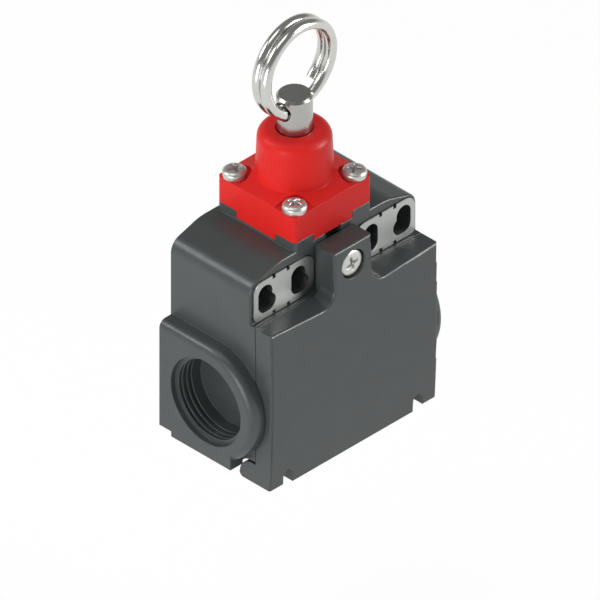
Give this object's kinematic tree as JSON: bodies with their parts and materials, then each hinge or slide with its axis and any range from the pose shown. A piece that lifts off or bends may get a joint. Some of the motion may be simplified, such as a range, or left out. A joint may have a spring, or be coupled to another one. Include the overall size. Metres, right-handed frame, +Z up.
{
  "type": "rope pull switch",
  "caption": "Rope operated position switch: grey box housing with hinged front cover and side conduit entries, red head with a spring loaded pull pin and a split ring.",
  "frame": {"origin": "on the flat mounting face at the back, midway between the fixing slots, on the line of their round holes", "axes": "+Y out of the mounting face, away from the cover; +Z up along the pull pin; +X to the right seen from the cover"},
  "size_m": [0.0582, 0.0307, 0.1031],
  "materials": {
    "housing_grey": "dark grey glass filled polymer, fine satin grain",
    "head_red": "red moulded polymer, satin",
    "bright_steel": "polished stainless steel",
    "plate_steel": "stamped stainless steel",
    "screw_steel": "zinc plated steel, satin",
    "spring_steel": "drawn spring wire",
    "black_rubber": "soft black rubber",
    "bush_white": "white acetal",
    "block_black": "black moulded polymer",
    "lid_clear": "clear polycarbonate",
    "plunger_white": "white moulded polymer",
    "brass": "stamped brass",
    "contact_silver": "silver alloy, polished"
  },
  "bodies": {
    "housing": {"housing_body": "housing_grey", "fixing_plate_left": "plate_steel", "fixing_plate_right": "plate_steel", "head_block": "head_red", "head_screws": "screw_steel", "head_gasket": "black_rubber", "pin_wiper_seal": "black_rubber", "guide_bush": "bush_white", "return_spring": "spring_steel", "contact_block_base": "block_black", "contact_block_lid": "lid_clear", "contact_block_screws": "screw_steel", "plunger_spring": "spring_steel", "no_terminal_left": "brass", "no_terminal_right": "brass", "nc_terminal_left": "brass", "nc_terminal_right": "brass", "fixed_contact_tips": "contact_silver", "clamp_plates": "screw_steel", "terminal_screws": "screw_steel"},
    "pull": {"pull_pin": "bright_steel", "pull_stem": "bright_steel", "spring_collar": "screw_steel"},
    "ring": {"pull_ring": "bright_steel"},
    "plunger": {"contact_plunger": "plunger_white", "no_bridge": "brass", "nc_bridge": "brass", "no_bridge_tips": "contact_silver", "nc_bridge_tips": "contact_silver", "bridge_spring": "spring_steel"},
    "front_cover": {"cover": "housing_grey", "cover_gasket": "black_rubber", "cover_screw": "screw_steel", "cover_screw_retainer": "black_rubber"}
  },
  "joints": [
    {"name": "pull_slide", "type": "slide", "parent": "housing", "child": "pull", "axis": [0, 0, 1], "range_m": [0, 0.005], "stiffness_N_per_m": 3000, "springref_m": -0.005, "deforming": ["return_spring"]},
    {"name": "plunger_slide", "type": "slide", "parent": "housing", "child": "plunger", "axis": [0, 0, 1], "range_m": [0, 0.005], "deforming": ["plunger_spring"]},
    {"name": "ring_swing", "type": "hinge", "parent": "pull", "child": "ring", "pos_m": [0, -0.01235, 0.0357], "axis": [1, 0, 0], "range_deg": [-115, 115]},
    {"name": "cover_hinge", "type": "hinge", "parent": "housing", "child": "front_cover", "pos_m": [0, -0.0248, -0.0434], "axis": [1, 0, 0], "range_deg": [0, 120]}
  ],
  "couplings": [
    {"joint": "plunger_slide", "follows": "pull_slide", "ratio": 1}
  ]
}
